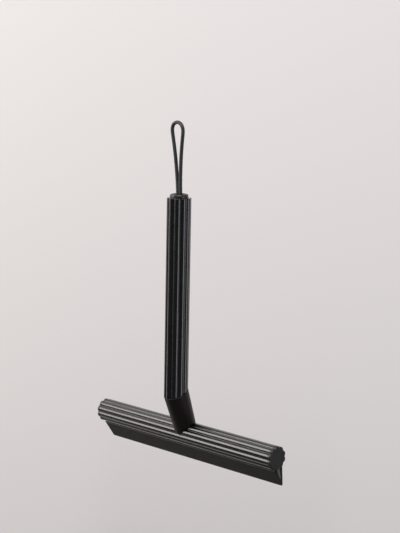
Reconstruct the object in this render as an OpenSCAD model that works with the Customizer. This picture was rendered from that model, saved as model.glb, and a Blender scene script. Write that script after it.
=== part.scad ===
// Window squeegee with a reeded handle, a reeded head bar and a hanging cord.
// The origin is the top of the inside of the hanging loop, where a hook bears.
// +Z is up and runs along the handle. +X runs along the bar. The head leans towards +Y.

/* [Handle] */
// Outside diameter of the reeded handle
handle_d = 25; // [24:0.5:27]
// Handle length on its axis, from the rim to the middle of the mitred end
handle_len = 201; // [150:1:240]
// Bore of the handle
handle_bore = 17.8; // [17.4:0.1:18.2]
// Angle of the mitred end from square
mitre_angle = 23.5; // [20:0.5:27]

/* [Neck] */
// Angle of the neck and the blade from the handle's axis
neck_angle = 20; // [18:0.5:22]
// Neck length, from the middle of the mitre to the bar's axis
neck_len = 48.4; // [47:0.2:52]
// Width of the neck across the mitre
neck_top_d = 25; // [24.4:0.1:25.4]
// Width of the neck just above the bar
neck_low_d = 23; // [22:0.1:23.6]

/* [Head] */
// Outside diameter of the reeded bar
bar_d = 24.5; // [24:0.5:26]
// Bore of the bar
bar_bore = 18; // [17.6:0.1:18.4]
// Length of the bar's tube and of the blade
blade_len = 250; // [150:5:400]
// Width of the slot along the bar
slot_w = 10; // [9.4:0.1:10.4]
// Distance from the bar's axis to the blade's edge
blade_reach = 32; // [28:0.5:36]
// Width of the blade where it meets its carrier
blade_root_w = 13.4; // [12.6:0.2:13.6]
// Thickness of the blade's edge
blade_edge_w = 1.8; // [1.4:0.1:2.4]

/* [Reeding] */
// Radius of each rounded reed
reed_r = 3.7; // [3.3:0.1:4.1]

/* [Caps] */
// Height of the top cap above the handle's rim
cap_h = 3.8; // [3.4:0.1:5]
// Diameter of the top cap's button
cap_d = 18.7; // [18.4:0.1:20]
// Thickness of the bar's end caps
end_t = 3; // [2.5:0.1:4]

/* [Cord] */
// Diameter of the hanging cord
cord_d = 3.8; // [3.4:0.1:3.8]

/* [Hidden] */
$fn = 96;

reeds = 10;
handle_reed = 18;      // puts a crest at the front and back of the handle
bar_reed = 0;          // and at the front and back of the bar
fit = 0.05;            // gap between a pressed or sliding piece and its bore
big = 120;             // half-size of the blocks that cut planes
bore_gap = 0.1;        // play around bolts, screws and washers
tip_gap = 0.4;         // room past the tips of the bolt and screws

// The cord's route, as half of a symmetrical loop: across, and up from the hook's bearing point
loop_half = [
    [0, 1.9], [2.9, 1.3], [5.4, -0.3], [7.0, -2.8], [7.6, -5.8], [7.2, -10.5], [6.3, -16], [5.4, -22],
    [4.6, -28], [3.8, -35], [3.2, -42], [2.7, -49], [2.3, -56], [2.0, -63], [1.9, -70.2]
];
mouth_z = -70.2;       // top of the cap, where the cord goes in
cord_lean = 4;         // the head's weight draws the handle this far behind the hook
cord_sides = 8;

rim_z = mouth_z - cap_h;
spigot_len = 16;       // top cap's plug
cavity_r = 6.4;        // room for the knot under the cap
ceiling_z = 1.5;       // underside of the cap's top wall, above the rim
throat_r = 4.1;        // hole for both strands
flare_r = 5.5;         // rounded-out mouth of that hole
flare_h = 1.6;
cap_round = 1.7;       // rounded outer edge of the button
knot_r = 6.1;
ring_groove_z = -9;    // O-ring groove below the rim
ring_r = 0.65;         // O-ring section
ring_gap = 0.01;

plug_len = 30;
insert_r = 4.2;
insert_len = 11;
bolt_r = 3;
bolt_head_r = 5;
bolt_head_h = 5;
bolt_key_r = 2.9;      // corner radius of its hexagon socket
bolt_key_depth = 3;
bolt_seat = 24;        // depth of the bolt's seat below the mitre, along the neck
washer_t = 1.4;
washer_split = 0.8;
pin_r = 1.5;
pin_x = 6.4;
pin_half = 5;

screw_r = 1.5;
screw_head_r = 2.6;
screw_head_h = 2.2;
screw_key_r = 1.4;
screw_key_depth = 1.4;
screw_x = 8.2;         // half the distance between the bar's two screws
screw_bite = 8;        // thread length in the neck
screw_washer_t = 0.6;
screw_washer_r = 3.1;
plate_z = 5.6;         // flat face of the saddle plate above the bar's axis
plate_len = 30;
saddle_gap = 0.05;     // neck's saddle stands this far off the reeds' crests

foot_z = 5;            // top of the carrier's foot below the bar's axis
stem_top = 6;          // the stem starts inside the foot
lip_w = 14;            // carrier's lip under the bar
lip_z = bar_d / 2 - 0.25;  // underside of the lip, which just clears the reeds
lip_t = 0.8;
core_r = 2.2;          // hollow core of the carrier's rail
core_z = 7.8;
web_w = 4.6;           // carrier's tapered web inside the blade
web_tip_w = 0.6;
web_z = 24.5;
spigot_in = 12;        // end caps' plugs
spigot_gap = 0.2;      // between those plugs and the carrier's foot
pocket_w = 8;          // hollow in those plugs
pocket_h = 7;
end_chamfer = 1.2;

// ---- shared shapes and frames ----

// A reeded section, with its first reed's crest at the given angle
module reeded(d, first) {
    circle(r = d / 2 - reed_r);
    for (i = [0 : reeds - 1])
        rotate(first + i * 360 / reeds)
            translate([d / 2 - reed_r, 0])
                circle(r = reed_r, $fn = 48);
}

// Handle frame: origin on the rim, handle towards -Z
module at_handle() { translate([0, cord_lean, rim_z]) children(); }

// Neck frame: origin in the middle of the mitre, neck towards -Z
module at_neck() { at_handle() translate([0, 0, -handle_len]) rotate([neck_angle, 0, 0]) children(); }

// Bar frame: origin on the bar's axis, blade towards -Z
module at_bar() { at_neck() translate([0, 0, -neck_len]) children(); }

module along_bar(len) { rotate([90, 0, 90]) linear_extrude(len, center = true) children(); }

module below_mitre() {
    translate([0, 0, -handle_len])
        rotate([mitre_angle, 0, 0])
            translate([-big, -big, -2 * big])
                cube(2 * big);
}

// ---- handle ----

module handle_tube() {
    color("#1c1c1e")
        at_handle()
            difference() {
                translate([0, 0, -handle_len - handle_d])
                    linear_extrude(handle_len + handle_d)
                        difference() {
                            reeded(handle_d, handle_reed);
                            circle(d = handle_bore);
                        }
                below_mitre();
            }
}

module cap_outline() {
    difference() {
        union() {
            square([cap_d / 2, cap_h - cap_round]);
            square([cap_d / 2 - cap_round, cap_h]);
            translate([cap_d / 2 - cap_round, cap_h - cap_round]) circle(r = cap_round);
            translate([0, -spigot_len]) square([handle_bore / 2 - fit, spigot_len]);
        }
        translate([0, -spigot_len]) square([cavity_r, spigot_len + ceiling_z]);
        square([throat_r, cap_h]);
        polygon([[0, cap_h - flare_h], [throat_r, cap_h - flare_h], [flare_r, cap_h], [0, cap_h]]);
        translate([handle_bore / 2 - 2 * ring_r, ring_groove_z - ring_r])
            square([2 * ring_r, 2 * ring_r]);
    }
}

module top_cap() { color("#151517") at_handle() rotate_extrude() cap_outline(); }

module cap_o_ring() {
    color("#0e0e0f")
        at_handle()
            rotate_extrude()
                translate([handle_bore / 2 - ring_r, ring_groove_z])
                    circle(r = ring_r - ring_gap, $fn = 32);
}

module bottom_plug() {
    color("#3a3a3c")
        difference() {
            at_handle()
                difference() {
                    translate([0, 0, -handle_len - 10])
                        cylinder(r = handle_bore / 2 - fit, h = plug_len + 10);
                    below_mitre();
                }
            at_neck() {
                translate([0, 0, -pin_half]) cylinder(r = insert_r, h = pin_half + insert_len);
                for (x = [-pin_x, pin_x])
                    translate([x, 0, -pin_half]) cylinder(r = pin_r, h = 2 * pin_half, $fn = 32);
            }
        }
}

module threaded_insert() {
    color("#b9964c")
        difference() {
            at_neck()
                difference() {
                    translate([0, 0, -pin_half]) cylinder(r = insert_r, h = pin_half + insert_len);
                    translate([0, 0, -2 * pin_half]) cylinder(r = bolt_r, h = 4 * pin_half + insert_len);
                }
            at_handle() below_mitre();
        }
}

module locating_pins() {
    color("#9a9da1")
        at_neck()
            for (x = [-pin_x, pin_x])
                translate([x, 0, -pin_half]) cylinder(r = pin_r, h = 2 * pin_half, $fn = 32);
}

// ---- neck ----

module neck_blank() {
    slice = 0.02;
    skirt = 3;
    hull() {
        rotate([mitre_angle - neck_angle, 0, 0])
            translate([0, 0, -slice])
                linear_extrude(slice)
                    scale([1, 1 / cos(mitre_angle)])
                        circle(d = neck_top_d, $fn = 64);
        translate([0, 0, skirt - neck_len])
            linear_extrude(slice)
                circle(d = neck_low_d, $fn = 64);
    }
}

module neck() {
    color("#17171a")
        at_neck()
            difference() {
                neck_blank();
                translate([0, 0, -neck_len])
                    rotate([0, 90, 0])
                        cylinder(r = bar_d / 2 + saddle_gap, h = 2 * big, center = true);
                translate([0, 0, -neck_len]) cylinder(r = bolt_r, h = neck_len + 10);
                translate([0, 0, -neck_len])
                    cylinder(r = bolt_head_r + 2 * bore_gap, h = neck_len - bolt_seat);
                for (x = [-pin_x, pin_x])
                    translate([x, 0, -pin_half]) cylinder(r = pin_r, h = 2 * pin_half + 5, $fn = 32);
                for (x = [-screw_x, screw_x])
                    translate([x, 0, -neck_len]) cylinder(r = screw_r, h = bar_d / 2 + screw_bite, $fn = 32);
            }
}

module neck_bolt() {
    head_z = -bolt_seat - washer_t;
    color("#a7aaae")
        at_neck()
            difference() {
                union() {
                    translate([0, 0, head_z]) cylinder(r = bolt_r, h = insert_len - head_z - tip_gap);
                    translate([0, 0, head_z - bolt_head_h]) cylinder(r = bolt_head_r, h = bolt_head_h);
                }
                translate([0, 0, head_z - bolt_head_h - 1])
                    cylinder(r = bolt_key_r, h = bolt_key_depth + 1, $fn = 6);
            }
}

// A split spring washer, cut through on one side
module lock_washer() {
    color("#8d9094")
        at_neck()
            translate([0, 0, -bolt_seat - washer_t])
                difference() {
                    cylinder(r = bolt_head_r - 2 * bore_gap, h = washer_t);
                    translate([0, 0, -1]) cylinder(r = bolt_r + bore_gap, h = washer_t + 2);
                    translate([0, -washer_split / 2, -1]) cube([big, washer_split, washer_t + 2]);
                }
}

// ---- head ----

module bar_section() {
    difference() {
        reeded(bar_d, bar_reed);
        circle(d = bar_bore);
        translate([-slot_w / 2 - fit, -bar_d]) square([slot_w + 2 * fit, bar_d]);
    }
}

module head_bar() {
    color("#1c1c1e")
        at_bar()
            difference() {
                along_bar(blade_len) bar_section();
                for (x = [-screw_x, screw_x])
                    translate([x, 0, 0]) cylinder(r = screw_r + bore_gap, h = bar_d, $fn = 32);
            }
}

module saddle_plate() {
    color("#8d9094")
        at_bar()
            difference() {
                along_bar(plate_len)
                    intersection() {
                        circle(d = bar_bore - 2 * fit);
                        translate([-bar_bore, plate_z]) square([2 * bar_bore, bar_bore]);
                    }
                for (x = [-screw_x, screw_x])
                    translate([x, 0, 0]) cylinder(r = screw_r + bore_gap, h = bar_d, $fn = 32);
            }
}

module bar_screws() {
    head_top = plate_z - screw_washer_t;
    color("#a7aaae")
        at_bar()
            for (x = [-screw_x, screw_x])
                translate([x, 0, 0])
                    difference() {
                        union() {
                            translate([0, 0, head_top])
                                cylinder(r = screw_r, h = bar_d / 2 + screw_bite - head_top - tip_gap, $fn = 32);
                            translate([0, 0, head_top - screw_head_h])
                                cylinder(r = screw_head_r, h = screw_head_h, $fn = 48);
                        }
                        translate([0, 0, head_top - screw_head_h - 1])
                            cylinder(r = screw_key_r, h = screw_key_depth + 1, $fn = 6);
                    }
}

module screw_washers() {
    color("#8d9094")
        at_bar()
            for (x = [-screw_x, screw_x])
                translate([x, 0, plate_z - screw_washer_t])
                    difference() {
                        cylinder(r = screw_washer_r, h = screw_washer_t, $fn = 48);
                        translate([0, 0, -1]) cylinder(r = screw_r + bore_gap, h = screw_washer_t + 2, $fn = 32);
                    }
}

// Stem in the bar's slot, lip under the bar, and tapered web inside the blade
module carrier_outline() {
    right = [
        [slot_w / 2, -stem_top], [slot_w / 2, lip_t - lip_z], [lip_w / 2, lip_t - lip_z],
        [lip_w / 2, -lip_z], [web_w / 2, -lip_z], [web_tip_w / 2, -web_z]
    ];
    left = [for (i = [len(right) - 1 : -1 : 0]) [-right[i].x, right[i].y]];
    polygon(concat(right, left));
}

// The carrier slides in from the bar's end on a hollow foot that fills the lower part of the bore
module blade_carrier() {
    color("#4b4b4d")
        at_bar()
            difference() {
                union() {
                    along_bar(blade_len) carrier_outline();
                    difference() {
                        along_bar(blade_len) circle(d = bar_bore - 2 * fit);
                        translate([-blade_len, -big, -foot_z]) cube([2 * blade_len, 2 * big, big]);
                    }
                }
                along_bar(blade_len + 2) translate([0, -core_z]) circle(r = core_r, $fn = 48);
            }
}

module blade() {
    color("#121213")
        at_bar()
            along_bar(blade_len)
                difference() {
                    polygon([
                        [-blade_root_w / 2, -lip_z], [blade_root_w / 2, -lip_z],
                        [blade_edge_w / 2, -blade_reach], [-blade_edge_w / 2, -blade_reach]
                    ]);
                    carrier_outline();
                }
}

// Right-hand end cap; the left-hand one is its mirror image
module end_cap() {
    translate([blade_len / 2, 0, 0]) {
        intersection() {
            rotate([90, 0, 90]) linear_extrude(end_t) reeded(bar_d, bar_reed);
            rotate([0, 90, 0]) {
                cylinder(d = bar_d, h = end_t - end_chamfer);
                translate([0, 0, end_t - end_chamfer])
                    cylinder(r1 = bar_d / 2, r2 = bar_d / 2 - end_chamfer, h = end_chamfer);
            }
        }
        translate([-spigot_in, 0, 0])
            rotate([90, 0, 90])
                linear_extrude(spigot_in)
                    difference() {
                        circle(d = bar_bore - 2 * fit);
                        translate([-bar_bore, spigot_gap - foot_z - bar_bore]) square([2 * bar_bore, bar_bore]);
                        translate([-pocket_w / 2, -2]) square([pocket_w, pocket_h]);
                    }
    }
}

module end_cap_right() { color("#151517") at_bar() end_cap(); }

module end_cap_left() { color("#151517") at_bar() mirror([1, 0, 0]) end_cap(); }

// ---- cord ----

cord_r = cord_d / 2;
half_n = len(loop_half);

// Left strand from the cap to the crest, then the right strand back to the cap, leaning with the load
function lean_y(z) = z > 0 ? 0 : cord_lean * z / mouth_z;
route = [
    for (i = [half_n - 1 : -1 : 1]) [-loop_half[i].x, lean_y(loop_half[i].y), loop_half[i].y],
    for (i = [0 : half_n - 1]) [loop_half[i].x, lean_y(loop_half[i].y), loop_half[i].y]
];
route_n = len(route);

function unit(v) = v / norm(v);
function heading(i) = unit(route[min(i + 1, route_n - 1)] - route[max(i - 1, 0)]);
// The loop bends only about Y, so Y stays across every ring
function ring(p, t, r) =
    let (side = unit(cross([0, 1, 0], t)), out = cross(t, side))
    [
        for (k = [0 : cord_sides - 1])
            p + r * (cos(k * 360 / cord_sides) * side + sin(k * 360 / cord_sides) * out)
    ];

// Rounded ends, which turn in the cap's mouth
end_steps = [80, 60, 30];
cord_rings = [
    for (a = end_steps) ring(route[0] - heading(0) * cord_r * sin(a), heading(0), cord_r * cos(a)),
    for (i = [0 : route_n - 1]) ring(route[i], heading(i), cord_r),
    for (i = [len(end_steps) - 1 : -1 : 0])
        ring(
            route[route_n - 1] + heading(route_n - 1) * cord_r * sin(end_steps[i]),
            heading(route_n - 1),
            cord_r * cos(end_steps[i])
        )
];

module tube(rings) {
    n = len(rings);
    s = cord_sides;
    points = [for (r = rings) for (p = r) p];
    sides = [
        for (i = [0 : n - 2])
            for (k = [0 : s - 1])
                [i * s + k, i * s + (k + 1) % s, (i + 1) * s + (k + 1) % s, (i + 1) * s + k]
    ];
    first = [for (k = [s - 1 : -1 : 0]) k];
    last = [for (k = [0 : s - 1]) (n - 1) * s + k];
    polyhedron(points = points, faces = concat([first], sides, [last]), convexity = 8);
}

module hang_cord() { color("#1a1a1b") tube(cord_rings); }

module cord_knot() {
    color("#1a1a1b")
        at_handle() {
            translate([0, 0, ceiling_z - knot_r - fit]) rotate([90, 0, 0]) sphere(r = knot_r);
            for (x = [-cord_r, cord_r])
                translate([x, 0, ceiling_z - knot_r])
                    cylinder(r = cord_r - fit, h = knot_r - ceiling_z + cap_h - cord_r - fit, $fn = 32);
        }
}

handle_tube();
top_cap();
cap_o_ring();
hang_cord();
cord_knot();
bottom_plug();
threaded_insert();
locating_pins();
neck();
neck_bolt();
lock_washer();
head_bar();
saddle_plate();
bar_screws();
screw_washers();
blade_carrier();
blade();
end_cap_left();
end_cap_right();
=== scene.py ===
import math

import bpy
from mathutils import Matrix, Vector


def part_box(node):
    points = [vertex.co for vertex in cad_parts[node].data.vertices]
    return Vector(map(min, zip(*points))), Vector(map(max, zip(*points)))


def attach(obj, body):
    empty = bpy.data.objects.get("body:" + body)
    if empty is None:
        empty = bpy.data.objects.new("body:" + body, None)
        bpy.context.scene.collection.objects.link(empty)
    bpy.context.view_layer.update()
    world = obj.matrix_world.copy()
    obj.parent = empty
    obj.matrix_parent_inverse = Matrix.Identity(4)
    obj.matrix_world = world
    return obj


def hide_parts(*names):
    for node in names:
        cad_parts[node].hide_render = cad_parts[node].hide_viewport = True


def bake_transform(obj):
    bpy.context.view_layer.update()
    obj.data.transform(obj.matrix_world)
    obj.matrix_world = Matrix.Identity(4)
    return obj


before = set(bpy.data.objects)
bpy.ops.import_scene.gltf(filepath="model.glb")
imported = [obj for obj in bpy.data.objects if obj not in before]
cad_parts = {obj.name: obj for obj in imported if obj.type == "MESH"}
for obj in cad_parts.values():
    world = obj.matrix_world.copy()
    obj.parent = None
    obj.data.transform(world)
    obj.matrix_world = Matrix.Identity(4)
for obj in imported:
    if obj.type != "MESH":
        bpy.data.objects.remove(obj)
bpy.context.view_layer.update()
bpy.ops.object.select_all(action="DESELECT")
print("frame loaded:", len(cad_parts), "nodes")


# where things are, all taken from the frame

squeegee = {
    "leanDegrees": 20,        # neck and blade, from the handle's line
    "mitreDegrees": 23.5,     # the joint between handle and neck, from square
    "reedCount": 10,
    "reedRadius": 0.0037,
    "valleyFillet": 0.00032,  # an extrusion die leaves no knife-sharp valley
}
lean = math.radians(squeegee["leanDegrees"])
mitre = math.radians(squeegee["mitreDegrees"])

handleLow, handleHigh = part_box("handle_tube")
discLow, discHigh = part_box("end_cap_right")
barLow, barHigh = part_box("head_bar")
handleY = (handleLow.y + handleHigh.y) / 2
rim = Vector((0, handleY, handleHigh.z))
barCentre = Vector((0, (discLow.y + discHigh.y) / 2, (discLow.z + discHigh.z) / 2))
neckLength = (barCentre.y - handleY) / math.sin(lean)
mitreCentre = Vector((0, handleY, barCentre.z + neckLength * math.cos(lean)))
handleLength = rim.z - mitreCentre.z
barLength = barHigh.x - barLow.x

# the handle's and the neck's frames have their axis along Z; the bar's has the bar along X
# and the blade down -Z
atHandle = Matrix.Translation(rim)
atNeck = Matrix.Translation(mitreCentre) @ Matrix.Rotation(lean, 4, "X")
atBar = Matrix.Translation(barCentre) @ Matrix.Rotation(lean, 4, "X")


# the camera

cameraSetup = {
    "place": (1.105, -1.0638, 0.1007),
    "turn": (80.958, -1.067, 45.32),
    "lens": 103.64,
}


def addCamera():
    bpy.ops.object.camera_add(location=cameraSetup["place"])
    camera = bpy.context.object
    camera.name = "productCamera"
    camera.rotation_euler = [math.radians(angle) for angle in cameraSetup["turn"]]
    camera.data.lens = cameraSetup["lens"]
    camera.data.clip_end = 20
    bpy.context.scene.camera = camera
    bpy.ops.object.select_all(action="DESELECT")


addCamera()
print("camera placed")


# materials

def paint(code):
    # sRGB hex to linear
    parts = [int(code[i:i + 2], 16) / 255 for i in (1, 3, 5)]
    return tuple(p / 12.92 if p <= 0.04045 else ((p + 0.055) / 1.055) ** 2.4 for p in parts) + (1,)


def perMm(size):
    # a noise scale in metres for a grain of this size in millimetres
    return 1000 / size


def node(tree, kind, settings=None, links=None):
    # adds one node, sets its properties and inputs, and links what feeds it
    made = tree.nodes.new(kind)
    for key, value in (settings or {}).items():
        if isinstance(key, str) and hasattr(made, key):
            setattr(made, key, value)
        else:
            made.inputs[key].default_value = value
    for key, source in (links or {}).items():
        tree.links.new(source, made.inputs[key])
    return made


def freshMaterial(name, settings):
    material = bpy.data.materials.new(name)
    material.use_nodes = True
    tree = material.node_tree
    tree.nodes.clear()
    shader = node(tree, "ShaderNodeBsdfPrincipled", settings)
    node(tree, "ShaderNodeOutputMaterial", None, {"Surface": shader.outputs[0]})
    return material, tree, shader


def spread(tree, source, low, high, fromLow=0.3, fromHigh=0.7):
    # a noise value mapped to a range
    mapped = node(tree, "ShaderNodeMapRange", {
        "From Min": fromLow, "From Max": fromHigh, "To Min": low, "To Max": high}, {"Value": source})
    return mapped.outputs["Result"]


def blendColours(tree, factor, first, second):
    mixed = node(tree, "ShaderNodeMix", {
        "data_type": "RGBA", 6: paint(first), 7: paint(second)}, {0: factor})
    return mixed.outputs[2]


def bumpFrom(tree, source, strength, distance, under=None):
    links = {"Height": source}
    if under:
        links["Normal"] = under
    made = node(tree, "ShaderNodeBump", {"Strength": strength, "Distance": distance}, links)
    return made.outputs["Normal"]


def grain(tree, place, size, detail=3.0, rough=0.5):
    made = node(tree, "ShaderNodeTexNoise", {
        "Scale": perMm(size), "Detail": detail, "Roughness": rough}, {"Vector": place})
    return made.outputs["Fac"]


anodising = {
    "dye": ("#161618", "#1d1d20"),
    "roughness": (0.24, 0.32),
    "dieLineMm": 0.35,     # really about 0.1 mm; drawn coarser so that it shows
    "dieLineRunMm": 60,
    "etchMm": 0.3,         # caustic-etched satin, really finer
    "cloudMm": 22,         # slow change of tone along a length
    "metallic": 0.9,
    "coat": 0.8,           # the sealed oxide, a clear layer over the dye
    "coatRoughness": 0.23,
    "coatIor": 1.6,
}


def anodisedAluminium(name, along):
    # extruded, etched and black anodised: soft satin sheen with faint drawing lines down its length
    material, tree, shader = freshMaterial(name, {
        "Metallic": anodising["metallic"], "Coat Weight": anodising["coat"],
        "Coat Roughness": anodising["coatRoughness"], "Coat IOR": anodising["coatIor"]})
    place = node(tree, "ShaderNodeTexCoord").outputs["Object"]
    across = perMm(anodising["dieLineMm"])
    scale = [across, across, across]
    scale["XYZ".index(along)] = perMm(anodising["dieLineRunMm"])
    drawn = node(tree, "ShaderNodeMapping", {"Scale": scale}, {"Vector": place}).outputs[0]
    lines = node(tree, "ShaderNodeTexNoise", {
        "Scale": 1.0, "Detail": 2.0}, {"Vector": drawn}).outputs["Fac"]
    cloud = grain(tree, place, anodising["cloudMm"], 2.0)
    etch = grain(tree, place, anodising["etchMm"], 2.0)
    dye = blendColours(tree, spread(tree, cloud, 0, 1), *anodising["dye"])
    tree.links.new(dye, shader.inputs["Base Color"])
    both = node(tree, "ShaderNodeMath", {"operation": "MULTIPLY_ADD", 1: 0.5}, {
        0: lines, 2: spread(tree, cloud, 0, 0.5)})
    tree.links.new(spread(tree, both.outputs[0], *anodising["roughness"]), shader.inputs["Roughness"])
    fine = bumpFrom(tree, etch, 0.12, 0.00003)
    tree.links.new(bumpFrom(tree, lines, 0.10, 0.00002, fine), shader.inputs["Normal"])
    return material


def powderCoat(name):
    # cast aluminium under matte black powder coat: very dark, with a slight orange peel
    material, tree, shader = freshMaterial(name, {"Metallic": 0.0, "IOR": 1.5, "Specular IOR Level": 0.22})
    place = node(tree, "ShaderNodeTexCoord").outputs["Object"]
    peel = grain(tree, place, 0.9, 2.0)
    speckle = grain(tree, place, 0.22, 2.0)
    tone = blendColours(tree, spread(tree, speckle, 0, 1), "#120f0e", "#181513")
    tree.links.new(tone, shader.inputs["Base Color"])
    tree.links.new(spread(tree, speckle, 0.36, 0.46), shader.inputs["Roughness"])
    fine = bumpFrom(tree, speckle, 0.25, 0.00004)
    tree.links.new(bumpFrom(tree, peel, 0.35, 0.00010, fine), shader.inputs["Normal"])
    return material


def mouldedAbs(name, first="#141415", second="#1a1a1b", roughness=(0.34, 0.44)):
    # injection-moulded ABS from a spark-eroded tool: an even, fine, dull texture
    material, tree, shader = freshMaterial(name, {"Metallic": 0.0, "IOR": 1.54})
    place = node(tree, "ShaderNodeTexCoord").outputs["Object"]
    spark = grain(tree, place, 0.35, 3.0, 0.6)
    flow = grain(tree, place, 9, 2.0)
    tree.links.new(blendColours(tree, spread(tree, flow, 0, 1), first, second), shader.inputs["Base Color"])
    tree.links.new(spread(tree, spark, *roughness), shader.inputs["Roughness"])
    tree.links.new(bumpFrom(tree, spark, 0.3, 0.00005), shader.inputs["Normal"])
    return material


def siliconeRubber(name, first="#1d1b18", second="#24211e"):
    # extruded matte rubber: talc-dull, faint run lines along its length, and a little bloom
    material, tree, shader = freshMaterial(name, {
        "Metallic": 0.0, "IOR": 1.42, "Specular IOR Level": 0.25,
        "Sheen Weight": 0.02, "Sheen Roughness": 0.6})
    place = node(tree, "ShaderNodeTexCoord").outputs["Object"]
    drawn = node(tree, "ShaderNodeMapping", {
        "Scale": (perMm(45), perMm(0.7), perMm(0.7))}, {"Vector": place})
    lines = node(tree, "ShaderNodeTexNoise", {
        "Scale": 1.0, "Detail": 3.0}, {"Vector": drawn.outputs[0]}).outputs["Fac"]
    bloom = grain(tree, place, 7, 4.0, 0.6)
    pores = grain(tree, place, 0.4, 2.0)
    tree.links.new(blendColours(tree, spread(tree, bloom, 0, 1), first, second), shader.inputs["Base Color"])
    tree.links.new(spread(tree, bloom, 0.58, 0.70), shader.inputs["Roughness"])
    fine = bumpFrom(tree, pores, 0.2, 0.00004)
    tree.links.new(bumpFrom(tree, lines, 0.2, 0.00005, fine), shader.inputs["Normal"])
    return material


def braidedPolyester(name):
    # black polyester braid: the strands are in the mesh, and the yarn's fibres are a fine bump along them
    material, tree, shader = freshMaterial(name, {
        "Metallic": 0.0, "IOR": 1.5, "Sheen Weight": 0.25, "Sheen Roughness": 0.4})
    place = node(tree, "ShaderNodeTexCoord").outputs["UV"]
    fibre = node(tree, "ShaderNodeTexNoise", {
        "Scale": 60.0, "Detail": 2.0}, {"Vector": place}).outputs["Fac"]
    tone = blendColours(tree, spread(tree, fibre, 0, 1), "#19191a", "#242426")
    tree.links.new(tone, shader.inputs["Base Color"])
    tree.links.new(spread(tree, fibre, 0.42, 0.56), shader.inputs["Roughness"])
    tree.links.new(bumpFrom(tree, fibre, 0.2, 0.00004), shader.inputs["Normal"])
    return material


def turnedMetal(name, colour, roughness):
    # turned or rolled bright metal: fine lines round the axis
    material, tree, shader = freshMaterial(name, {"Metallic": 1.0})
    place = node(tree, "ShaderNodeTexCoord").outputs["Object"]
    scale = (perMm(30), perMm(30), perMm(0.25))
    ringed = node(tree, "ShaderNodeMapping", {"Scale": scale}, {"Vector": place}).outputs[0]
    lines = node(tree, "ShaderNodeTexNoise", {
        "Scale": 1.0, "Detail": 2.0}, {"Vector": ringed}).outputs["Fac"]
    tree.links.new(blendColours(tree, spread(tree, lines, 0, 1), *colour), shader.inputs["Base Color"])
    tree.links.new(spread(tree, lines, *roughness), shader.inputs["Roughness"])
    tree.links.new(bumpFrom(tree, lines, 0.15, 0.00002), shader.inputs["Normal"])
    return material


finishes = {
    "handle": anodisedAluminium("anodisedAluminiumHandle", "Z"),
    "bar": anodisedAluminium("anodisedAluminiumBar", "X"),
    "neck": powderCoat("powderCoatedCasting"),
    "caps": mouldedAbs("mouldedAbsBlack"),
    "carrier": mouldedAbs("extrudedNylonGrey", "#555456", "#5f5e60", (0.45, 0.58)),
    "nylon": mouldedAbs("mouldedNylonGrey", "#48484a", "#525254"),
    "blade": siliconeRubber("siliconeRubberBlack"),
    "seal": siliconeRubber("nitrileRubberBlack", "#141414", "#1b1b1b"),
    "cord": braidedPolyester("braidedPolyesterBlack"),
    "brass": turnedMetal("turnedBrass", ("#b8913f", "#c9a354"), (0.25, 0.35)),
    "zinc": turnedMetal("zincPlatedSteel", ("#a9abb0", "#b9bbc0"), (0.25, 0.38)),
    "stainless": turnedMetal("stainlessSpringSteel", ("#8f9195", "#9ea0a4"), (0.30, 0.42)),
}
print("finishes mixed:", len(finishes))


# modelling helpers

near = 0.000001    # closer than this counts as touching, in metres
past = 0.02        # cutters run this far past what they cut


def deselect():
    if bpy.context.mode != "OBJECT":
        bpy.ops.object.mode_set(mode="OBJECT")
    bpy.ops.object.select_all(action="DESELECT")


def work(piece):
    deselect()
    piece.select_set(True)
    bpy.context.view_layer.objects.active = piece


def pick(piece, kind, test):
    # selects edges by their ends, or faces by centre and normal, and leaves the piece in edit mode
    work(piece)
    bpy.ops.object.mode_set(mode="EDIT")
    bpy.ops.mesh.select_mode(type=kind)
    bpy.ops.mesh.select_all(action="DESELECT")
    bpy.ops.object.mode_set(mode="OBJECT")
    mesh = piece.data
    points = [vertex.co for vertex in mesh.vertices]
    if kind == "EDGE":
        for edge in mesh.edges:
            edge.select = bool(test(*(points[i] for i in edge.vertices)))
    else:
        for face in mesh.polygons:
            face.select = bool(test(face.center, face.normal))
    bpy.ops.object.mode_set(mode="EDIT")


def level(a, b, height):
    # both ends of an edge are at this height
    return abs(a.z - height) < near and abs(b.z - height) < near


def outside(a, b, radius):
    # both ends of an edge are further than this from the axis
    return a.xy.length > radius and b.xy.length > radius


def leaveEdit():
    bpy.ops.object.mode_set(mode="OBJECT")


def applyModifier(piece, kind, **settings):
    work(piece)
    modifier = piece.modifiers.new(kind.lower(), kind)
    for key, value in settings.items():
        setattr(modifier, key, value)
    bpy.ops.object.modifier_apply(modifier=modifier.name)


def cut(piece, cutter, operation="DIFFERENCE"):
    # cuts or joins one closed mesh with another, which is then thrown away
    applyModifier(piece, "BOOLEAN", object=cutter, operation=operation, solver="EXACT")
    deselect()
    bpy.data.objects.remove(cutter)


def cylinder(radius, low, high, at=(0, 0), turn=(0, 0, 0), sides=96):
    # a plain cutter or core along Z between two heights, before it is turned
    deselect()
    bpy.ops.mesh.primitive_cylinder_add(
        vertices=sides, radius=radius, depth=high - low,
        location=(at[0], at[1], (low + high) / 2), rotation=turn)
    return bpy.context.object


def block(low, high):
    deselect()
    middle = [(a + b) / 2 for a, b in zip(low, high)]
    bpy.ops.mesh.primitive_cube_add(size=1, location=middle)
    made = bpy.context.object
    made.scale = [b - a for a, b in zip(low, high)]
    bpy.ops.object.transform_apply(location=True, rotation=True, scale=True)
    return made


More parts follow.
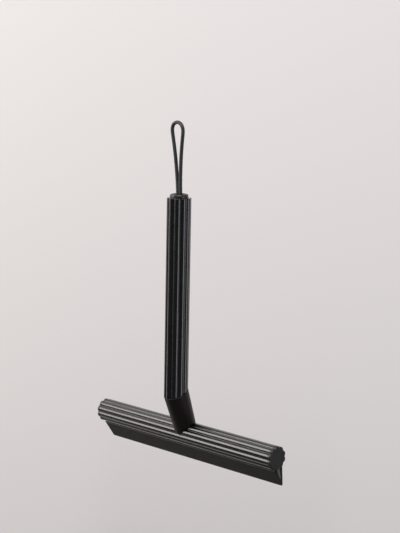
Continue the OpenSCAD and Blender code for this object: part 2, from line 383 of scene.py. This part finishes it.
def finishPiece(piece, name, place, material, body, replaced, creaseDegrees=32):
    # cleans the mesh, shades it, puts its place into its mesh, and gives it to its body
    work(piece)
    piece.name = name
    piece.data.name = name
    bpy.ops.object.mode_set(mode="EDIT")
    bpy.ops.mesh.select_all(action="SELECT")
    bpy.ops.mesh.remove_doubles(threshold=0.000002)
    bpy.ops.mesh.normals_make_consistent(inside=False)
    leaveEdit()
    piece.matrix_world = place @ piece.matrix_world
    bpy.ops.object.transform_apply(location=True, rotation=True, scale=True)
    bpy.ops.object.shade_smooth_by_angle(angle=math.radians(creaseDegrees))
    applyModifier(piece, "WEIGHTED_NORMAL", keep_sharp=True, weight=80)
    piece.data.materials.clear()
    piece.data.materials.append(material)
    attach(piece, body)
    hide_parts(*replaced)
    deselect()
    print("made", name, "with", len(piece.data.polygons), "faces")
    return piece


def reededRod(diameter, low, high, firstDegrees, stepsPerReed=20):
    # a solid rod with rounded reeds all round it, along Z: a circle pushed out into reeds, then extruded
    count = squeegee["reedCount"]
    radius = squeegee["reedRadius"]
    pitch = 2 * math.pi / count
    middle = diameter / 2 - radius
    first = math.radians(firstDegrees)
    deselect()
    bpy.ops.mesh.primitive_circle_add(vertices=count * stepsPerReed, radius=diameter / 2, location=(0, 0, 0))
    rod = bpy.context.object
    valleys = []
    for vertex in rod.data.vertices:
        angle = math.atan2(vertex.co.y, vertex.co.x)
        offCrest = (angle - first + pitch / 2) % pitch - pitch / 2
        reach = middle * math.cos(offCrest) + math.sqrt(radius ** 2 - (middle * math.sin(offCrest)) ** 2)
        vertex.co = (reach * math.cos(angle), reach * math.sin(angle), low)
        if abs(abs(offCrest) - pitch / 2) < 0.0001:
            valleys.append(vertex.index)
    bpy.ops.object.mode_set(mode="EDIT")
    bpy.ops.mesh.select_all(action="SELECT")
    bpy.ops.mesh.extrude_region_move(TRANSFORM_OT_translate={"value": (0, 0, high - low)})
    leaveEdit()
    valleyReach = min(vertex.co.xy.length for vertex in rod.data.vertices)
    pick(rod, "EDGE", lambda a, b: abs(a.z - b.z) > 0.5 * (high - low)
         and a.xy.length < valleyReach + 0.00002)
    bpy.ops.mesh.bevel(offset=squeegee["valleyFillet"], segments=3, affect="EDGES", clamp_overlap=False)
    for end in (low, high):
        pick(rod, "EDGE", lambda a, b: level(a, b, end))
        bpy.ops.mesh.edge_face_add()
    bpy.ops.mesh.select_all(action="SELECT")
    bpy.ops.mesh.normals_make_consistent(inside=False)
    leaveEdit()
    return rod


# the hanging cord

cord = {
    "diameter": 0.0038,
    "halfLoop": [  # across, and up from the hook's bearing point; the other half mirrors it
        (0, 1.9), (2.9, 1.3), (5.4, -0.3), (7.0, -2.8), (7.6, -5.8), (7.2, -10.5), (6.3, -16), (5.4, -22),
        (4.6, -28), (3.8, -35), (3.2, -42), (2.7, -49), (2.3, -56), (2.0, -63), (1.9, -70.2)],
    "mouthZ": -70.2,
    "behind": 4,           # the handle hangs this far behind the hook
    "intoCap": 7.5,        # each strand runs on down into the cap, to the knot
    "strands": 16,         # yarn bundles round the braid
    "braidPitchMm": 7.0,   # one full turn of a bundle
    "relief": 0.00007,
    "ringStep": 0.00022,
    "knotRingStep": 0.0003,
    "splineSteps": 40,     # points worked out between two points of the route
    "bundleEdge": 0.55,    # a bundle starts to stand up from here
    "bundleRise": 0.45,
    "gapDepth": 0.5,
    "sides": 48,
}


def cordRoute():
    # the left strand from inside the cap to the crest, then the right strand back, in metres
    def place(across, up):
        back = 0 if up > 0 else cord["behind"] * min(up / cord["mouthZ"], 1)
        return Vector((across, back, up)) / 1000
    half = cord["halfLoop"]
    deep = [(half[-1][0], cord["mouthZ"] - cord["intoCap"])]
    right = [place(*point) for point in half + deep]
    left = [Vector((-p.x, p.y, p.z)) for p in right[:0:-1]]
    return left + right


def smoothRoute(points, step):
    # a centripetal spline through the points, walked in even steps
    walk = [points[0] * 2 - points[1]] + points + [points[-1] * 2 - points[-2]]
    dense = []
    for i in range(1, len(walk) - 2):
        p0, p1, p2, p3 = walk[i - 1:i + 3]
        t1 = (p1 - p0).length ** 0.5
        t2 = t1 + (p2 - p1).length ** 0.5
        t3 = t2 + (p3 - p2).length ** 0.5
        for k in range(cord["splineSteps"]):
            t = t1 + (t2 - t1) * k / cord["splineSteps"]
            a1 = p0 * ((t1 - t) / t1) + p1 * (t / t1)
            a2 = p1 * ((t2 - t) / (t2 - t1)) + p2 * ((t - t1) / (t2 - t1))
            a3 = p2 * ((t3 - t) / (t3 - t2)) + p3 * ((t - t2) / (t3 - t2))
            b1 = a1 * ((t2 - t) / t2) + a2 * (t / t2)
            b2 = a2 * ((t3 - t) / (t3 - t1)) + a3 * ((t - t1) / (t3 - t1))
            dense.append(b1 * ((t2 - t) / (t2 - t1)) + b2 * ((t - t1) / (t2 - t1)))
    dense.append(points[-1])
    travelled = [0.0]
    for a, b in zip(dense, dense[1:]):
        travelled.append(travelled[-1] + (b - a).length)
    count = round(travelled[-1] / step)
    even, j = [], 0
    for k in range(count + 1):
        target = travelled[-1] * k / count
        while j < len(dense) - 2 and travelled[j + 1] < target:
            j += 1
        share = (target - travelled[j]) / max(travelled[j + 1] - travelled[j], 1e-12)
        even.append(dense[j].lerp(dense[j + 1], min(share, 1)))
    return even, travelled[-1]


def braidedTube(name, centres, radius, steady=Vector((0, 1, 0))):
    # rings of points along the centres; two families of yarn bundles cross over and under each other
    sides = cord["sides"]
    bundles = cord["strands"] / 2
    vertices = []
    faces = []
    along = [0.0]
    for a, b in zip(centres, centres[1:]):
        along.append(along[-1] + (b - a).length)
    last = len(centres) - 1
    for i, centre in enumerate(centres):
        heading = (centres[min(i + 1, last)] - centres[max(i - 1, 0)]).normalized()
        side = steady.cross(heading).normalized()
        out = heading.cross(side)
        turn = 2 * math.pi * along[i] * 1000 / cord["braidPitchMm"]
        for k in range(sides):
            angle = 2 * math.pi * k / sides
            one = math.cos(bundles * (angle - turn))
            two = math.cos(bundles * (angle + turn))
            raised = max(max(one, two) - cord["bundleEdge"], -cord["gapDepth"])
            reach = radius - cord["relief"] + cord["relief"] * raised / cord["bundleRise"]
            vertices.append(centre + reach * (math.cos(angle) * side + math.sin(angle) * out))
    for i in range(last):
        for k in range(sides):
            k2 = (k + 1) % sides
            faces.append((i * sides + k, i * sides + k2, (i + 1) * sides + k2, (i + 1) * sides + k))
    start, end = len(vertices), len(vertices) + 1
    vertices += [centres[0], centres[-1]]
    for k in range(sides):
        k2 = (k + 1) % sides
        faces.append((start, k2, k))
        faces.append((end, last * sides + k, last * sides + k2))
    mesh = bpy.data.meshes.new(name)
    mesh.from_pydata([tuple(v) for v in vertices], [], faces)
    sheet = mesh.uv_layers.new(name="alongCord")
    girth = 2 * math.pi * radius * 100
    for face in mesh.polygons:
        columns = [mesh.loops[i].vertex_index % sides for i in face.loop_indices]
        wraps = 0 in columns and sides - 1 in columns
        for i, column in zip(face.loop_indices, columns):
            ring = min(mesh.loops[i].vertex_index // sides, last)
            column = sides if wraps and column == 0 else column
            sheet.data[i].uv = (girth * column / sides, along[ring] * 100)
    for face in mesh.polygons:
        face.use_smooth = True
    made = bpy.data.objects.new(name, mesh)
    bpy.context.scene.collection.objects.link(made)
    mesh.materials.append(finishes["cord"])
    return made


cordCentres, cordLength = smoothRoute(cordRoute(), cord["ringStep"])
hangingCord = braidedTube("hanging_cord_braid", cordCentres, cord["diameter"] / 2)
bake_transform(hangingCord)
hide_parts("hang_cord")
print("cord laid:", round(cordLength * 1000, 1), "mm")


def overhandKnot():
    # a tight overhand knot: one closed line whose turns cross three times, under the cord's two ends
    low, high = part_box("cord_knot")
    centre = Vector((0, handleY, (low.z + (low.z + (high.x - low.x))) / 2))
    spreadMm = ((high.x - low.x) / 2 - cord["diameter"] / 2) / 3
    turns = []
    for k in range(120):
        t = 2 * math.pi * k / 120
        turns.append(centre + spreadMm * Vector((
            (2 + math.cos(3 * t)) * math.cos(2 * t),
            (2 + math.cos(3 * t)) * math.sin(2 * t),
            1.5 * math.sin(3 * t))))
    turns.append(turns[0].copy())
    return turns


knotCentres = smoothRoute(overhandKnot(), cord["knotRingStep"])[0]
knotPiece = braidedTube("cord_knot_braid", knotCentres, cord["diameter"] / 2, Vector((0, 0, 1)))
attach(knotPiece, "knot")
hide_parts("cord_knot")

print("knot tied")


# the handle and its cap

handle = {
    "diameter": 0.025,
    "firstReed": 18,         # angle of the first reed's crest
    "bore": 0.0178,
    "rimBreak": 0.0004,
    "mitreBreak": 0.0007,
    "spare": 0.010,          # made this much longer, then cut to the mitre
}


def makeHandle():
    # a reeded rod cut across at the mitre, bored, and its sharp edges broken
    tube = reededRod(handle["diameter"], -handleLength - handle["spare"], 0, handle["firstReed"])
    work(tube)
    bpy.ops.object.mode_set(mode="EDIT")
    bpy.ops.mesh.select_all(action="SELECT")
    # the plane's normal points out past the mitred end, and what lies beyond it is cut away
    beyond = Vector((0, math.sin(mitre), -math.cos(mitre)))
    bpy.ops.mesh.bisect(
        plane_co=(0, 0, -handleLength), plane_no=beyond, use_fill=True, clear_outer=True, clear_inner=False)
    leaveEdit()
    cut(tube, cylinder(handle["bore"] / 2, -handleLength - past, 0.01, sides=128))
    wall = handle["bore"] / 2 + 0.0002

    def offPlane(point):
        return abs((point - Vector((0, 0, -handleLength))).dot(beyond))

    pick(tube, "EDGE", lambda a, b: offPlane(a) < 10 * near and offPlane(b) < 10 * near
         and outside(a, b, wall))
    bpy.ops.mesh.bevel(offset=handle["mitreBreak"], segments=4, affect="EDGES", clamp_overlap=False)
    pick(tube, "EDGE", lambda a, b: level(a, b, 0) and outside(a, b, wall))
    bpy.ops.mesh.bevel(offset=handle["rimBreak"], segments=3, affect="EDGES", clamp_overlap=False)
    leaveEdit()
    return finishPiece(
        tube, "handle_reeded_tube", atHandle, finishes["handle"], "squeegee",
        ["handle_tube"])


makeHandle()

topCap = {
    "buttonRadius": 0.00935,
    "buttonHeight": 0.0038,
    "buttonRound": 0.0017,
    "spigotLength": 0.016,
    "spigotRadius": 0.00885,
    "cavityRadius": 0.0064,
    "ceiling": 0.0015,
    "throatRadius": 0.0041,
    "throatRound": 0.0012,
    "ringGroove": -0.009,
    "ringRadius": 0.00066,
    "ringProud": 0.00006,
    "seatBreak": 0.00025,
}


def makeTopCap():
    # one cylinder, inset and extruded below for the spigot and its cavity, then bored through
    cap = cylinder(topCap["buttonRadius"], 0, topCap["buttonHeight"], sides=160)
    bpy.ops.object.transform_apply(location=True, rotation=True, scale=True)
    pick(cap, "FACE", lambda c, n: n.z < -0.9)
    bpy.ops.mesh.inset(thickness=topCap["buttonRadius"] - topCap["spigotRadius"])
    bpy.ops.mesh.extrude_region_move(TRANSFORM_OT_translate={"value": (0, 0, -topCap["spigotLength"])})
    bpy.ops.mesh.inset(thickness=topCap["spigotRadius"] - topCap["cavityRadius"])
    bpy.ops.mesh.extrude_region_move(
        TRANSFORM_OT_translate={"value": (0, 0, topCap["spigotLength"] + topCap["ceiling"])})
    leaveEdit()
    cut(cap, cylinder(topCap["throatRadius"], -0.001, 0.01, sides=96))
    top = topCap["buttonHeight"]
    pick(cap, "EDGE", lambda a, b: level(a, b, top) and a.xy.length > 0.009)
    bpy.ops.mesh.bevel(offset=topCap["buttonRound"], segments=8, affect="EDGES", clamp_overlap=False)
    throat = topCap["throatRadius"] + 0.0002
    pick(cap, "EDGE", lambda a, b: level(a, b, top) and a.xy.length < throat and b.xy.length < throat)
    bpy.ops.mesh.bevel(offset=topCap["throatRound"], segments=6, affect="EDGES", clamp_overlap=False)
    pick(cap, "EDGE", lambda a, b: level(a, b, 0) and outside(a, b, topCap["buttonRadius"] - 0.0001))
    bpy.ops.mesh.bevel(offset=topCap["seatBreak"], segments=2, affect="EDGES", clamp_overlap=False)
    leaveEdit()
    deselect()
    bpy.ops.mesh.primitive_torus_add(
        major_radius=topCap["spigotRadius"] - topCap["ringRadius"] + topCap["ringProud"],
        minor_radius=topCap["ringRadius"], major_segments=96, minor_segments=24,
        location=(0, 0, topCap["ringGroove"]))
    cut(cap, bpy.context.object)
    return finishPiece(
        cap, "handle_top_cap", atHandle, finishes["caps"], "squeegee", ["top_cap"])


makeTopCap()
print("handle done")


# the neck

neck = {
    "topDiameter": 0.025,
    "lowDiameter": 0.023,
    "skirt": 0.003,          # the saddle's ears end this far above the bar's axis
    "saddleRadius": 0.0123,
    "topBreak": 0.0005,
    "rimFrom": 0.0105,       # the top's outer edge lies beyond this radius, the holes inside it
    "boltRadius": 0.003,
    "headRoom": 0.0052,
    "boltSeat": 0.024,
    "pinRadius": 0.0015,
    "pinX": 0.0064,
    "screwX": 0.0082,
    "screwTip": 0.0202,      # above the bar's axis
}


def makeNeck():
    # a tapered cylinder whose top is drawn over to the mitre, then bored and saddled for the bar
    low = neck["skirt"] - neckLength
    body = cylinder(neck["topDiameter"] / 2, low, 0, sides=160)
    bpy.ops.object.transform_apply(location=True, rotation=True, scale=True)
    tilt = mitre - lean
    stretch = 1 / math.cos(mitre)
    for vertex in body.data.vertices:
        x, y = vertex.co.x, vertex.co.y
        if vertex.co.z > low / 2:
            vertex.co = (x, y * stretch * math.cos(tilt), y * stretch * math.sin(tilt))
        else:
            shrink = neck["lowDiameter"] / neck["topDiameter"]
            vertex.co = (x * shrink, y * shrink, low)
    plane = Vector((0, -math.sin(tilt), math.cos(tilt)))
    deselect()
    bpy.ops.mesh.primitive_cylinder_add(
        vertices=256, radius=neck["saddleRadius"], depth=0.06, location=(0, 0, -neckLength),
        rotation=(0, math.pi / 2, 0))
    cut(body, bpy.context.object)
    cut(body, cylinder(neck["boltRadius"], -neckLength, past, sides=48))
    cut(body, cylinder(neck["headRoom"], -neckLength, -neck["boltSeat"], sides=64))
    for side in (-1, 1):
        cut(body, cylinder(neck["pinRadius"], -0.005, 0.01, at=(side * neck["pinX"], 0), sides=32))
        cut(body, cylinder(
            neck["pinRadius"], -neckLength, neck["screwTip"] - neckLength,
            at=(side * neck["screwX"], 0), sides=32))
    pick(body, "EDGE", lambda a, b: abs(a.dot(plane)) < near and abs(b.dot(plane)) < near
         and outside(a, b, neck["rimFrom"]))
    bpy.ops.mesh.bevel(offset=neck["topBreak"], segments=4, affect="EDGES", clamp_overlap=False)
    leaveEdit()
    return finishPiece(
        body, "neck_casting", atNeck, finishes["neck"], "squeegee", ["neck"],
        creaseDegrees=38)


makeNeck()
print("neck done")


# the head: bar, end caps, carrier and blade

def layAlong(piece):
    # a rod made along Z is turned to lie along X, with its own X pointing down the blade
    work(piece)
    turned = Matrix.Rotation(math.pi / 2, 4, "Z") @ Matrix.Rotation(math.pi / 2, 4, "X")
    piece.matrix_world = turned @ piece.matrix_world
    bpy.ops.object.transform_apply(location=True, rotation=True, scale=True)


bar = {
    "diameter": 0.0245,
    "firstReed": 0,
    "bore": 0.018,
    "slot": 0.0101,
    "endBreak": 0.0002,
    "screwHole": 0.0016,
}


def makeBar():
    # a reeded rod laid along X, bored, slotted along its underside and drilled for the two screws
    tube = reededRod(bar["diameter"], -barLength / 2, barLength / 2, bar["firstReed"])
    pick(tube, "EDGE", lambda a, b: abs(abs(a.z) - barLength / 2) < near and abs(a.z - b.z) < near)
    bpy.ops.mesh.bevel(offset=bar["endBreak"], segments=2, affect="EDGES", clamp_overlap=False)
    leaveEdit()
    layAlong(tube)
    cut(tube, cylinder(bar["bore"] / 2, -barLength, barLength, turn=(0, math.pi / 2, 0), sides=128))
    half = bar["slot"] / 2
    cut(tube, block((-barLength, -half, -past), (barLength, half, 0)))
    for side in (-1, 1):
        cut(tube, cylinder(bar["screwHole"], 0, past, at=(side * neck["screwX"], 0), sides=32))
    return finishPiece(
        tube, "head_reeded_bar", atBar, finishes["bar"], "squeegee", ["head_bar"])


endCap = {
    "thickness": discHigh.x - barHigh.x,
    "edgeRound": 0.0012,
    "innerBreak": 0.0003,    # shows as the parting line against the bar
    "spigotIn": 0.012,
    "spigotDepth": 0.0125,
    "spigotOverlap": 0.0002,
    "spigotRadius": 0.00895,
    "footGap": 0.0048,
    "pocket": (0.008, 0.007),
    "pocketBelow": 0.002,    # the pocket starts this far below the bar's axis
}


def makeEndCap(side, name, replaced):
    # a reeded disc with a rounded outer edge, and a spigot that goes up the bar above the carrier
    start = barLength / 2
    disc = reededRod(bar["diameter"], start, start + endCap["thickness"], bar["firstReed"])
    top = start + endCap["thickness"]
    pick(disc, "EDGE", lambda a, b: level(a, b, top))
    bpy.ops.mesh.bevel(offset=endCap["edgeRound"], segments=6, affect="EDGES", clamp_overlap=False)
    pick(disc, "EDGE", lambda a, b: level(a, b, start))
    bpy.ops.mesh.bevel(offset=endCap["innerBreak"], segments=2, affect="EDGES", clamp_overlap=False)
    leaveEdit()
    layAlong(disc)
    deep = endCap["spigotDepth"] / 2
    spigot = cylinder(endCap["spigotRadius"], -deep, deep, turn=(0, math.pi / 2, 0), sides=96)
    spigot.location.x = start - endCap["spigotIn"] / 2 + endCap["spigotOverlap"]
    work(spigot)
    bpy.ops.object.transform_apply(location=True, rotation=True, scale=True)
    cut(spigot, block((0, -past, -past), (1, past, -endCap["footGap"])))
    wide, tall = endCap["pocket"]
    below = endCap["pocketBelow"]
    cut(spigot, block((0, -wide / 2, -below), (start, wide / 2, tall - below)))
    cut(disc, spigot, "UNION")
    work(disc)
    if side < 0:
        disc.matrix_world = Matrix.Scale(-1, 4, (1, 0, 0)) @ disc.matrix_world
        bpy.ops.object.transform_apply(location=True, rotation=True, scale=True)
    return finishPiece(disc, name, atBar, finishes["caps"], "squeegee", [replaced])


carrier = {
    "stem": 0.010,
    "stemTop": 0.006,
    "footRadius": 0.00895,
    "footTop": 0.005,
    "lipWidth": 0.014,
    "lipTop": 0.0112,
    "lipLow": 0.0120,
    "lipRound": 0.00018,
    "webWidth": 0.0046,
    "webTip": 0.0006,
    "webLow": 0.0245,
    "core": (0.0022, 0.0078),
}


def makeCarrier():
    # the stem is one block; its underside is spread for the lip, drawn in again and run down
    # to the web's tip
    half = barLength / 2
    stem = carrier["stem"] / 2
    rail = block((-half, -stem, -carrier["lipTop"]), (half, stem, -carrier["stemTop"]))

    def drop(width, depth):
        bpy.ops.mesh.extrude_region_move(TRANSFORM_OT_translate={"value": (0, 0, -depth)})
        resize(width)

    def resize(width):
        leaveEdit()
        for vertex in rail.data.vertices:
            if vertex.select:
                vertex.co.y = math.copysign(width / 2, vertex.co.y)
        bpy.ops.object.mode_set(mode="EDIT")

    pick(rail, "FACE", lambda c, n: n.z < -0.9)
    drop(carrier["lipWidth"], 0)
    drop(carrier["lipWidth"], carrier["lipLow"] - carrier["lipTop"])
    drop(carrier["webWidth"], 0)
    drop(carrier["webTip"], carrier["webLow"] - carrier["lipLow"])
    leaveEdit()
    lip = carrier["lipWidth"] / 2
    pick(rail, "EDGE", lambda a, b: abs(abs(a.y) - lip) < near and abs(abs(b.y) - lip) < near
         and abs(a.x - b.x) > half)
    bpy.ops.mesh.bevel(offset=carrier["lipRound"], segments=2, affect="EDGES", clamp_overlap=False)
    leaveEdit()
    foot = cylinder(carrier["footRadius"], -half, half, turn=(0, math.pi / 2, 0), sides=128)
    cut(foot, block((-half * 2, -past, -carrier["footTop"]), (half * 2, past, past)))
    cut(rail, foot, "UNION")
    coreRadius, coreDepth = carrier["core"]
    core = cylinder(coreRadius, -half - 0.01, half + 0.01, turn=(0, math.pi / 2, 0), sides=48)
    core.location = (0, 0, -coreDepth)
    cut(rail, core)
    return finishPiece(
        rail, "blade_carrier_rail", atBar, finishes["carrier"], "squeegee",
        ["blade_carrier"])


blade = {
    "rootWidth": 0.0134,
    "edgeWidth": 0.0018,
    "reach": 0.032,
    "rootRound": 0.0003,
    "endRound": 0.00012,
    "channelOver": 0.0001,   # the channel's cutter starts this far above the root
}


def makeBlade():
    # a block drawn in to a wedge, with softened corners and a tapered channel for the carrier's web
    half = barLength / 2
    root = blade["rootWidth"] / 2
    wedge = block((-half, -root, -blade["reach"]), (half, root, -carrier["lipLow"]))
    pick(wedge, "FACE", lambda c, n: n.z < -0.9)
    leaveEdit()
    for vertex in wedge.data.vertices:
        if vertex.select:
            vertex.co.y = math.copysign(blade["edgeWidth"] / 2, vertex.co.y)
    pick(wedge, "EDGE", lambda a, b: abs(a.x - b.x) > half and a.z > -carrier["lipLow"] - near)
    bpy.ops.mesh.bevel(offset=blade["rootRound"], segments=3, affect="EDGES", clamp_overlap=False)
    pick(wedge, "EDGE", lambda a, b: abs(a.x - b.x) < near and abs(abs(a.x) - half) < near)
    bpy.ops.mesh.bevel(offset=blade["endRound"], segments=2, affect="EDGES", clamp_overlap=False)
    leaveEdit()
    web = block(
        (-half * 1.1, -carrier["webWidth"] / 2, -carrier["webLow"]),
        (half * 1.1, carrier["webWidth"] / 2, -carrier["lipLow"] + blade["channelOver"]))
    for vertex in web.data.vertices:
        if vertex.co.z < -carrier["webLow"] + near:
            vertex.co.y = math.copysign(carrier["webTip"] / 2, vertex.co.y)
    cut(wedge, web)
    return finishPiece(
        wedge, "blade_rubber_wedge", atBar, finishes["blade"], "squeegee", ["blade"])


makeBar()
makeEndCap(1, "end_cap_right_disc", "end_cap_right")
makeEndCap(-1, "end_cap_left_disc", "end_cap_left")
makeCarrier()
makeBlade()
print("head done")


# the inner pieces keep their CAD shapes and get real finishes

innerFinishes = {
    "cap_o_ring": "seal",
    "bottom_plug": "nylon",
    "threaded_insert": "brass",
    "locating_pins": "zinc",
    "neck_bolt": "zinc",
    "lock_washer": "stainless",
    "saddle_plate": "stainless",
    "bar_screws": "zinc",
    "screw_washers": "stainless",
}
for inner, finish in innerFinishes.items():
    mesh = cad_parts[inner].data
    if not mesh.materials:
        mesh.materials.append(finishes[finish])
    for place in range(len(mesh.materials)):
        mesh.materials[place] = finishes[finish]
print("inner pieces finished")


# backdrop and light

studio = {
    "wallBehind": 0.36,       # far enough for the squeegee to swing and turn in front of it
    "wallTurn": 45.1,
    "wide": 4.0,
    "low": -1.6,
    "high": 1.4,
    "colour": "#e8e3e2",
}


def backdropFinish():
    # matte emulsion, seen only from its painted side, so that a camera behind it still sees the squeegee
    material, tree, shader = freshMaterial("paleEmulsionPaint", {
        "Base Color": paint(studio["colour"]), "Roughness": 0.75, "Specular IOR Level": 0.25})
    output = [n for n in tree.nodes if n.type == "OUTPUT_MATERIAL"][0]
    clear = node(tree, "ShaderNodeBsdfTransparent")
    facing = node(tree, "ShaderNodeNewGeometry").outputs["Backfacing"]
    seen = node(tree, "ShaderNodeLightPath").outputs["Is Camera Ray"]
    behind = node(tree, "ShaderNodeMath", {"operation": "MULTIPLY"}, {0: facing, 1: seen}).outputs[0]
    mixed = node(tree, "ShaderNodeMixShader", None, {0: behind, 1: shader.outputs[0], 2: clear.outputs[0]})
    tree.links.new(mixed.outputs[0], output.inputs["Surface"])
    return material


def makeBackdrop():
    # one plain wall behind the squeegee
    deselect()
    bpy.ops.mesh.primitive_plane_add(size=1, location=(0, 0, 0), rotation=(math.pi / 2, 0, 0))
    wall = bpy.context.object
    wall.name = "backdrop"
    wall.scale = (studio["wide"], studio["high"] - studio["low"], 1)
    bpy.ops.object.transform_apply(location=True, rotation=True, scale=True)
    turn = math.radians(studio["wallTurn"])
    wall.rotation_euler.z = turn
    inward = Vector((-math.sin(turn), math.cos(turn), 0))
    wall.location = inward * studio["wallBehind"] + Vector((0, 0, (studio["high"] + studio["low"]) / 2))
    bpy.ops.object.transform_apply(location=True, rotation=True, scale=True)
    wall.data.materials.append(backdropFinish())


makeBackdrop()

lights = {
    "windowLeft": {"from": (-43, 21), "away": 1.7, "size": (1.0, 1.2), "watts": 26, "tint": "#fffaf4"},
    "softRight": {"from": (102, -6), "away": 1.6, "size": (0.6, 0.8), "watts": 5.5, "tint": "#f8f9ff"},
    "topFront": {"from": (38, 52), "away": 3.0, "size": (1.7, 1.2), "watts": 84, "tint": "#ffffff"},
}
room = {"colour": "#e8e8ea", "light": 0.15, "look": 0.85}


def addLights():
    aim = Vector((0, 0.01, -0.2))
    for name, lamp in lights.items():
        azimuth, elevation = (math.radians(angle) for angle in lamp["from"])
        outward = Vector((
            math.sin(azimuth) * math.cos(elevation),
            -math.cos(azimuth) * math.cos(elevation),
            math.sin(elevation)))
        bpy.ops.object.light_add(type="AREA", location=aim + outward * lamp["away"])
        light = bpy.context.object
        light.name = name
        light.rotation_mode = "QUATERNION"
        light.rotation_quaternion = (-outward).to_track_quat("-Z", "Y")
        light.data.shape = "RECTANGLE"
        light.data.size, light.data.size_y = lamp["size"]
        light.data.energy = lamp["watts"]
        light.data.color = paint(lamp["tint"])[:3]
    # the room is dim on the squeegee but looks pale where the wall does not hide it
    world = bpy.data.worlds.new("paleRoom")
    world.use_nodes = True
    tree = world.node_tree
    tree.nodes.clear()
    seen = node(tree, "ShaderNodeLightPath").outputs["Is Camera Ray"]
    strength = node(tree, "ShaderNodeMapRange", {
        "To Min": room["light"], "To Max": room["look"]}, {"Value": seen})
    glow = node(tree, "ShaderNodeBackground", {
        "Color": paint(room["colour"])}, {"Strength": strength.outputs[0]})
    node(tree, "ShaderNodeOutputWorld", None, {"Surface": glow.outputs[0]})
    bpy.context.scene.world = world
    bpy.context.scene.view_settings.view_transform = "Standard"


addLights()
deselect()
print("studio lit")
